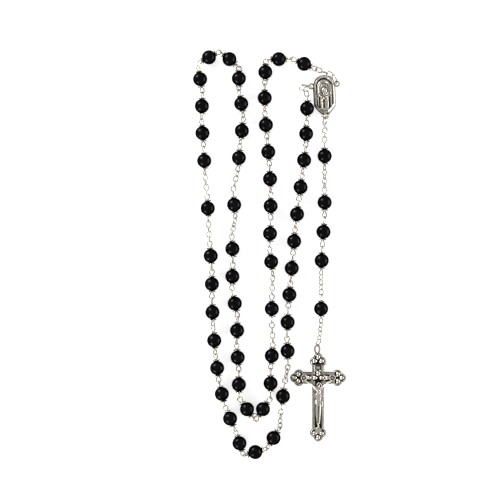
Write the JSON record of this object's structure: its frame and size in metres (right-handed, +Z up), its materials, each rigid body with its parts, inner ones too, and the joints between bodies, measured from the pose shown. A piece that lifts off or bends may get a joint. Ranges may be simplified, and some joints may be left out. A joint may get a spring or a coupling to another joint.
{
  "type": "rosary",
  "caption": "Prayer beads laid out in loops: round black beads on silver eye pins, linked eye to eye, with short chains, a centre medal and a pendant that ends in a crucifix.",
  "frame": {"origin": "middle of the laid-out rosary's bounding box, on the surface that it lies on", "axes": "+Y from the crucifix's end towards the medal's end, +X to the right when it is seen from above, +Z up off the surface"},
  "size_m": [0.0652, 0.174, 0.006],
  "materials": {
    "black_glass": "polished black glass beads, with silver-plated caps and eye pins",
    "bright_silver": "silver-plated wire, bright",
    "antique_silver": "cast, silver-plated, with the hollows blackened and the high places rubbed bright"
  },
  "bodies": {
    "centre_medal": {"centre_medal": "antique_silver"},
    "ring_left": {"ring_left": "bright_silver"},
    "chain_medal_left": {"chain_medal_left": "bright_silver"},
    "decade_1_beads_1_2": {"decade_1_beads_1_2": "black_glass"},
    "decade_1_beads_3_4": {"decade_1_beads_3_4": "black_glass"},
    "decade_1_beads_5_6": {"decade_1_beads_5_6": "black_glass"},
    "decade_1_beads_7_8": {"decade_1_beads_7_8": "black_glass"},
    "decade_1_beads_9_10": {"decade_1_beads_9_10": "black_glass"},
    "chain_decade_1_end": {"chain_decade_1_end": "bright_silver"},
    "our_father_after_decade_1": {"our_father_after_decade_1": "black_glass"},
    "chain_decade_2_start": {"chain_decade_2_start": "bright_silver"},
    "decade_2_beads_1_2": {"decade_2_beads_1_2": "black_glass"},
    "decade_2_beads_3_4": {"decade_2_beads_3_4": "black_glass"},
    "decade_2_beads_5_6": {"decade_2_beads_5_6": "black_glass"},
    "decade_2_beads_7_8": {"decade_2_beads_7_8": "black_glass"},
    "decade_2_beads_9_10": {"decade_2_beads_9_10": "black_glass"},
    "chain_decade_2_end": {"chain_decade_2_end": "bright_silver"},
    "our_father_after_decade_2": {"our_father_after_decade_2": "black_glass"},
    "chain_decade_3_start": {"chain_decade_3_start": "bright_silver"},
    "decade_3_beads_1_2": {"decade_3_beads_1_2": "black_glass"},
    "decade_3_beads_3_4": {"decade_3_beads_3_4": "black_glass"},
    "ring_right": {"ring_right": "bright_silver"},
    "chain_medal_right": {"chain_medal_right": "bright_silver"},
    "decade_5_beads_9_10": {"decade_5_beads_9_10": "black_glass"},
    "decade_5_beads_7_8": {"decade_5_beads_7_8": "black_glass"},
    "decade_5_beads_5_6": {"decade_5_beads_5_6": "black_glass"},
    "decade_5_beads_3_4": {"decade_5_beads_3_4": "black_glass"},
    "decade_5_beads_1_2": {"decade_5_beads_1_2": "black_glass"},
    "chain_decade_5_start": {"chain_decade_5_start": "bright_silver"},
    "our_father_after_decade_4": {"our_father_after_decade_4": "black_glass"},
    "chain_decade_4_end": {"chain_decade_4_end": "bright_silver"},
    "decade_4_beads_9_10": {"decade_4_beads_9_10": "black_glass"},
    "decade_4_beads_7_8": {"decade_4_beads_7_8": "black_glass"},
    "decade_4_beads_5_6": {"decade_4_beads_5_6": "black_glass"},
    "decade_4_beads_3_4": {"decade_4_beads_3_4": "black_glass"},
    "decade_4_beads_1_2": {"decade_4_beads_1_2": "black_glass"},
    "chain_decade_4_start": {"chain_decade_4_start": "bright_silver"},
    "our_father_after_decade_3": {"our_father_after_decade_3": "black_glass"},
    "chain_decade_3_end": {"chain_decade_3_end": "bright_silver"},
    "decade_3_beads_9_10": {"decade_3_beads_9_10": "black_glass"},
    "decade_3_beads_7_8": {"decade_3_beads_7_8": "black_glass"},
    "decade_3_beads_5_6": {"decade_3_beads_5_6": "black_glass"},
    "ring_pendant": {"ring_pendant": "bright_silver"},
    "chain_pendant_1": {"chain_pendant_1": "bright_silver"},
    "pendant_our_father_1_pin": {"pendant_our_father_1_pin": "bright_silver"},
    "pendant_our_father_1_bead": {"pendant_our_father_1_bead": "black_glass"},
    "chain_pendant_2": {"chain_pendant_2": "bright_silver"},
    "pendant_hail_mary_1_pin": {"pendant_hail_mary_1_pin": "bright_silver"},
    "pendant_hail_mary_1_bead": {"pendant_hail_mary_1_bead": "black_glass"},
    "pendant_hail_mary_2_pin": {"pendant_hail_mary_2_pin": "bright_silver"},
    "pendant_hail_mary_2_bead": {"pendant_hail_mary_2_bead": "black_glass"},
    "pendant_hail_mary_3_pin": {"pendant_hail_mary_3_pin": "bright_silver"},
    "pendant_hail_mary_3_bead": {"pendant_hail_mary_3_bead": "black_glass"},
    "chain_pendant_3": {"chain_pendant_3": "bright_silver"},
    "pendant_our_father_2_pin": {"pendant_our_father_2_pin": "bright_silver"},
    "pendant_our_father_2_bead": {"pendant_our_father_2_bead": "black_glass"},
    "chain_pendant_4": {"chain_pendant_4": "bright_silver"},
    "ring_crucifix": {"ring_crucifix": "bright_silver"},
    "crucifix": {"crucifix": "antique_silver"}
  },
  "joints": [
    {"name": "ring_left_swing", "type": "hinge", "parent": "centre_medal", "child": "ring_left", "pos_m": [0.01713, 0.07178, 0.00136], "axis": [0.0162, -0.9999, 0], "range_deg": [-28, 28]},
    {"name": "chain_medal_left_swing", "type": "hinge", "parent": "ring_left", "child": "chain_medal_left", "pos_m": [0.01456, 0.0718, 0.003], "axis": [-0.4605, 0.8876, 0], "range_deg": [-28, 28]},
    {"name": "decade_1_beads_1_2_swing", "type": "hinge", "parent": "chain_medal_left", "child": "decade_1_beads_1_2", "pos_m": [0.01606, 0.0674, 0.003], "axis": [0.9854, 0.1704, 0], "range_deg": [-28, 28]},
    {"name": "decade_1_beads_3_4_swing", "type": "hinge", "parent": "decade_1_beads_1_2", "child": "decade_1_beads_3_4", "pos_m": [0.01536, 0.0459, 0.003], "axis": [-0.9969, 0.0784, 0], "range_deg": [-28, 28]},
    {"name": "decade_1_beads_5_6_swing", "type": "hinge", "parent": "decade_1_beads_3_4", "child": "decade_1_beads_5_6", "pos_m": [0.01236, 0.0229, 0.003], "axis": [0.9916, -0.1293, 0], "range_deg": [-28, 28]},
    {"name": "decade_1_beads_7_8_swing", "type": "hinge", "parent": "decade_1_beads_5_6", "child": "decade_1_beads_7_8", "pos_m": [0.00986, -0.0001, 0.003], "axis": [-0.9962, 0.0866, 0], "range_deg": [-28, 28]},
    {"name": "decade_1_beads_9_10_swing", "type": "hinge", "parent": "decade_1_beads_7_8", "child": "decade_1_beads_9_10", "pos_m": [0.00786, -0.0226, 0.003], "axis": [0.9979, -0.0653, 0], "range_deg": [-28, 28]},
    {"name": "chain_decade_1_end_swing", "type": "hinge", "parent": "decade_1_beads_9_10", "child": "chain_decade_1_end", "pos_m": [0.00786, -0.0471, 0.003], "axis": [-0.997, 0.0778, 0], "range_deg": [-28, 28]},
    {"name": "our_father_after_decade_1_swing", "type": "hinge", "parent": "chain_decade_1_end", "child": "our_father_after_decade_1", "pos_m": [0.00636, -0.0546, 0.003], "axis": [0.9867, -0.1628, 0], "range_deg": [-28, 28]},
    {"name": "chain_decade_2_start_swing", "type": "hinge", "parent": "our_father_after_decade_1", "child": "chain_decade_2_start", "pos_m": [0.00486, -0.0661, 0.003], "axis": [-0.9952, 0.098, 0], "range_deg": [-28, 28]},
    {"name": "decade_2_beads_1_2_swing", "type": "hinge", "parent": "chain_decade_2_start", "child": "decade_2_beads_1_2", "pos_m": [0.00436, -0.0736, 0.003], "axis": [0.9531, -0.3027, 0], "range_deg": [-28, 28]},
    {"name": "decade_2_beads_3_4_swing", "type": "hinge", "parent": "decade_2_beads_1_2", "child": "decade_2_beads_3_4", "pos_m": [-0.01114, -0.0856, 0.003], "axis": [0.4607, 0.8876, 0], "range_deg": [-28, 28]},
    {"name": "decade_2_beads_5_6_swing", "type": "hinge", "parent": "decade_2_beads_3_4", "child": "decade_2_beads_5_6", "pos_m": [-0.01914, -0.0646, 0.003], "axis": [-0.9494, -0.3139, 0], "range_deg": [-28, 28]},
    {"name": "decade_2_beads_7_8_swing", "type": "hinge", "parent": "decade_2_beads_5_6", "child": "decade_2_beads_7_8", "pos_m": [-0.02314, -0.0426, 0.003], "axis": [0.9943, 0.1062, 0], "range_deg": [-28, 28]},
    {"name": "decade_2_beads_9_10_swing", "type": "hinge", "parent": "decade_2_beads_7_8", "child": "decade_2_beads_9_10", "pos_m": [-0.02464, -0.0186, 0.003], "axis": [-0.9998, -0.0208, 0], "range_deg": [-28, 28]},
    {"name": "chain_decade_2_end_swing", "type": "hinge", "parent": "decade_2_beads_9_10", "child": "chain_decade_2_end", "pos_m": [-0.02564, 0.0054, 0.003], "axis": [0.9975, 0.0709, 0], "range_deg": [-28, 28]},
    {"name": "our_father_after_decade_2_swing", "type": "hinge", "parent": "chain_decade_2_end", "child": "our_father_after_decade_2", "pos_m": [-0.02614, 0.0139, 0.003], "axis": [-0.9987, -0.0511, 0], "range_deg": [-28, 28]},
    {"name": "chain_decade_3_start_swing", "type": "hinge", "parent": "our_father_after_decade_2", "child": "chain_decade_3_start", "pos_m": [-0.02664, 0.0254, 0.003], "axis": [0.9968, 0.0802, 0], "range_deg": [-28, 28]},
    {"name": "decade_3_beads_1_2_swing", "type": "hinge", "parent": "chain_decade_3_start", "child": "decade_3_beads_1_2", "pos_m": [-0.02764, 0.0339, 0.003], "axis": [-0.9969, -0.0793, 0], "range_deg": [-28, 28]},
    {"name": "decade_3_beads_3_4_swing", "type": "hinge", "parent": "decade_3_beads_1_2", "child": "decade_3_beads_3_4", "pos_m": [-0.02914, 0.0574, 0.003], "axis": [0.9998, 0.0216, 0], "range_deg": [-28, 28]},
    {"name": "ring_right_swing", "type": "hinge", "parent": "centre_medal", "child": "ring_right", "pos_m": [0.02839, 0.07325, 0.00136], "axis": [0.8782, 0.4782, 0], "range_deg": [-28, 28]},
    {"name": "chain_medal_right_swing", "type": "hinge", "parent": "ring_right", "child": "chain_medal_right", "pos_m": [0.02676, 0.0763, 0.0029], "axis": [-0.6467, -0.7627, 0], "range_deg": [-28, 28]},
    {"name": "decade_5_beads_9_10_swing", "type": "hinge", "parent": "chain_medal_right", "child": "decade_5_beads_9_10", "pos_m": [0.01986, 0.0789, 0.003], "axis": [0.3734, 0.9277, 0], "range_deg": [-28, 28]},
    {"name": "decade_5_beads_7_8_swing", "type": "hinge", "parent": "decade_5_beads_9_10", "child": "decade_5_beads_7_8", "pos_m": [-0.00164, 0.0829, 0.003], "axis": [0.7063, -0.7079, 0], "range_deg": [-28, 28]},
    {"name": "decade_5_beads_5_6_swing", "type": "hinge", "parent": "decade_5_beads_7_8", "child": "decade_5_beads_5_6", "pos_m": [-0.00214, 0.0609, 0.003], "axis": [-0.9991, -0.0434, 0], "range_deg": [-28, 28]},
    {"name": "decade_5_beads_3_4_swing", "type": "hinge", "parent": "decade_5_beads_5_6", "child": "decade_5_beads_3_4", "pos_m": [-0.00014, 0.0379, 0.003], "axis": [0.9979, 0.065, 0], "range_deg": [-28, 28]},
    {"name": "decade_5_beads_1_2_swing", "type": "hinge", "parent": "decade_5_beads_3_4", "child": "decade_5_beads_1_2", "pos_m": [0.00036, 0.0149, 0.003], "axis": [-0.9998, 0.0208, 0], "range_deg": [-28, 28]},
    {"name": "chain_decade_5_start_swing", "type": "hinge", "parent": "decade_5_beads_1_2", "child": "chain_decade_5_start", "pos_m": [0.00136, -0.0091, 0.003], "axis": [0.9995, 0.031, 0], "range_deg": [-28, 28]},
    {"name": "our_father_after_decade_4_swing", "type": "hinge", "parent": "chain_decade_5_start", "child": "our_father_after_decade_4", "pos_m": [0.00086, -0.0171, 0.003], "axis": [-0.9995, 0.0312, 0], "range_deg": [-28, 28]},
    {"name": "chain_decade_4_end_swing", "type": "hinge", "parent": "our_father_after_decade_4", "child": "chain_decade_4_end", "pos_m": [0.00086, -0.0291, 0.003], "axis": [0.9996, 0.0294, 0], "range_deg": [-28, 28]},
    {"name": "decade_4_beads_9_10_swing", "type": "hinge", "parent": "chain_decade_4_end", "child": "decade_4_beads_9_10", "pos_m": [0.00136, -0.0376, 0.003], "axis": [-0.9999, 0.016, 0], "range_deg": [-28, 28]},
    {"name": "decade_4_beads_7_8_swing", "type": "hinge", "parent": "decade_4_beads_9_10", "child": "decade_4_beads_7_8", "pos_m": [0.00036, -0.0611, 0.003], "axis": [0.9553, -0.2955, 0], "range_deg": [-28, 28]},
    {"name": "decade_4_beads_5_6_swing", "type": "hinge", "parent": "decade_4_beads_7_8", "child": "decade_4_beads_5_6", "pos_m": [-0.01314, -0.0611, 0.003], "axis": [0.95, 0.3122, 0], "range_deg": [-28, 28]},
    {"name": "decade_4_beads_3_4_swing", "type": "hinge", "parent": "decade_4_beads_5_6", "child": "decade_4_beads_3_4", "pos_m": [-0.01414, -0.0381, 0.003], "axis": [-0.9998, -0.0216, 0], "range_deg": [-28, 28]},
    {"name": "decade_4_beads_1_2_swing", "type": "hinge", "parent": "decade_4_beads_3_4", "child": "decade_4_beads_1_2", "pos_m": [-0.01614, -0.0151, 0.003], "axis": [0.9964, 0.0852, 0], "range_deg": [-28, 28]},
    {"name": "chain_decade_4_start_swing", "type": "hinge", "parent": "decade_4_beads_1_2", "child": "chain_decade_4_start", "pos_m": [-0.01614, 0.0084, 0.003], "axis": [-0.9964, 0.0846, 0], "range_deg": [-28, 28]},
    {"name": "our_father_after_decade_3_swing", "type": "hinge", "parent": "chain_decade_4_start", "child": "our_father_after_decade_3", "pos_m": [-0.01464, 0.0154, 0.003], "axis": [0.9981, -0.0621, 0], "range_deg": [-28, 28]},
    {"name": "chain_decade_3_end_swing", "type": "hinge", "parent": "our_father_after_decade_3", "child": "chain_decade_3_end", "pos_m": [-0.01564, 0.0269, 0.003], "axis": [-0.9974, 0.0721, 0], "range_deg": [-28, 28]},
    {"name": "decade_3_beads_9_10_swing", "type": "hinge", "parent": "chain_decade_3_end", "child": "decade_3_beads_9_10", "pos_m": [-0.01364, 0.0354, 0.003], "axis": [0.9874, -0.1582, 0], "range_deg": [-28, 28]},
    {"name": "decade_3_beads_7_8_swing", "type": "hinge", "parent": "decade_3_beads_9_10", "child": "decade_3_beads_7_8", "pos_m": [-0.01114, 0.0584, 0.003], "axis": [-0.9998, -0.0212, 0], "range_deg": [-28, 28]},
    {"name": "decade_3_beads_5_6_swing", "type": "hinge", "parent": "decade_3_beads_7_8", "child": "decade_3_beads_5_6", "pos_m": [-0.01314, 0.0799, 0.003], "axis": [0.9029, 0.4298, 0], "range_deg": [-28, 28]},
    {"name": "ring_pendant_swing", "type": "hinge", "parent": "centre_medal", "child": "ring_pendant", "pos_m": [0.0237, 0.05825, 0.00136], "axis": [1, -0.0069, 0], "range_deg": [-28, 28]},
    {"name": "chain_pendant_1_swing", "type": "hinge", "parent": "ring_pendant", "child": "chain_pendant_1", "pos_m": [0.02356, 0.0557, 0.0028], "axis": [-0.9992, 0.0392, 0], "range_deg": [-28, 28]},
    {"name": "pendant_our_father_1_pin_swing", "type": "hinge", "parent": "chain_pendant_1", "child": "pendant_our_father_1_pin", "pos_m": [0.02336, 0.0479, 0.003], "axis": [0.9999, -0.0128, 0], "range_deg": [-28, 28]},
    {"name": "pendant_our_father_1_bead_turn", "type": "hinge", "parent": "pendant_our_father_1_pin", "child": "pendant_our_father_1_bead", "pos_m": [0.02336, 0.0419, 0.003], "axis": [0, -1, 0], "continuous": true},
    {"name": "chain_pendant_2_swing", "type": "hinge", "parent": "pendant_our_father_1_pin", "child": "chain_pendant_2", "pos_m": [0.02336, 0.0359, 0.003], "axis": [-1, 0, 0], "range_deg": [-28, 28]},
    {"name": "pendant_hail_mary_1_pin_swing", "type": "hinge", "parent": "chain_pendant_2", "child": "pendant_hail_mary_1_pin", "pos_m": [0.02336, 0.0284, 0.003], "axis": [1, 0, 0], "range_deg": [-28, 28]},
    {"name": "pendant_hail_mary_1_bead_turn", "type": "hinge", "parent": "pendant_hail_mary_1_pin", "child": "pendant_hail_mary_1_bead", "pos_m": [0.02336, 0.02215, 0.003], "axis": [0, -1, 0], "continuous": true},
    {"name": "pendant_hail_mary_2_pin_swing", "type": "hinge", "parent": "pendant_hail_mary_1_pin", "child": "pendant_hail_mary_2_pin", "pos_m": [0.02336, 0.0159, 0.003], "axis": [-0.9992, 0.0399, 0], "range_deg": [-28, 28]},
    {"name": "pendant_hail_mary_2_bead_turn", "type": "hinge", "parent": "pendant_hail_mary_2_pin", "child": "pendant_hail_mary_2_bead", "pos_m": [0.02286, 0.00965, 0.003], "axis": [-0.0797, -0.9968, 0], "continuous": true},
    {"name": "pendant_hail_mary_3_pin_swing", "type": "hinge", "parent": "pendant_hail_mary_2_pin", "child": "pendant_hail_mary_3_pin", "pos_m": [0.02236, 0.0034, 0.003], "axis": [0.9982, -0.0607, 0], "range_deg": [-28, 28]},
    {"name": "pendant_hail_mary_3_bead_turn", "type": "hinge", "parent": "pendant_hail_mary_3_pin", "child": "pendant_hail_mary_3_bead", "pos_m": [0.02211, -0.0026, 0.003], "axis": [-0.0416, -0.9991, 0], "continuous": true},
    {"name": "chain_pendant_3_swing", "type": "hinge", "parent": "pendant_hail_mary_3_pin", "child": "chain_pendant_3", "pos_m": [0.02186, -0.0086, 0.003], "axis": [-0.9998, 0.0208, 0], "range_deg": [-28, 28]},
    {"name": "pendant_our_father_2_pin_swing", "type": "hinge", "parent": "chain_pendant_3", "child": "pendant_our_father_2_pin", "pos_m": [0.02186, -0.0171, 0.003], "axis": [1, 0, 0], "range_deg": [-28, 28]},
    {"name": "pendant_our_father_2_bead_turn", "type": "hinge", "parent": "pendant_our_father_2_pin", "child": "pendant_our_father_2_bead", "pos_m": [0.02186, -0.0231, 0.003], "axis": [0, -1, 0], "continuous": true},
    {"name": "chain_pendant_4_swing", "type": "hinge", "parent": "pendant_our_father_2_pin", "child": "chain_pendant_4", "pos_m": [0.02186, -0.0291, 0.003], "axis": [-0.9985, 0.0545, 0], "range_deg": [-28, 28]},
    {"name": "ring_crucifix_swing", "type": "hinge", "parent": "chain_pendant_4", "child": "ring_crucifix", "pos_m": [0.02106, -0.0364, 0.0025], "axis": [0.978, -0.2086, 0], "range_deg": [-28, 28]},
    {"name": "crucifix_swing", "type": "hinge", "parent": "ring_crucifix", "child": "crucifix", "pos_m": [0.02026, -0.0388, 0.0013], "axis": [-0.9884, 0.1521, 0], "range_deg": [-28, 28]}
  ]
}
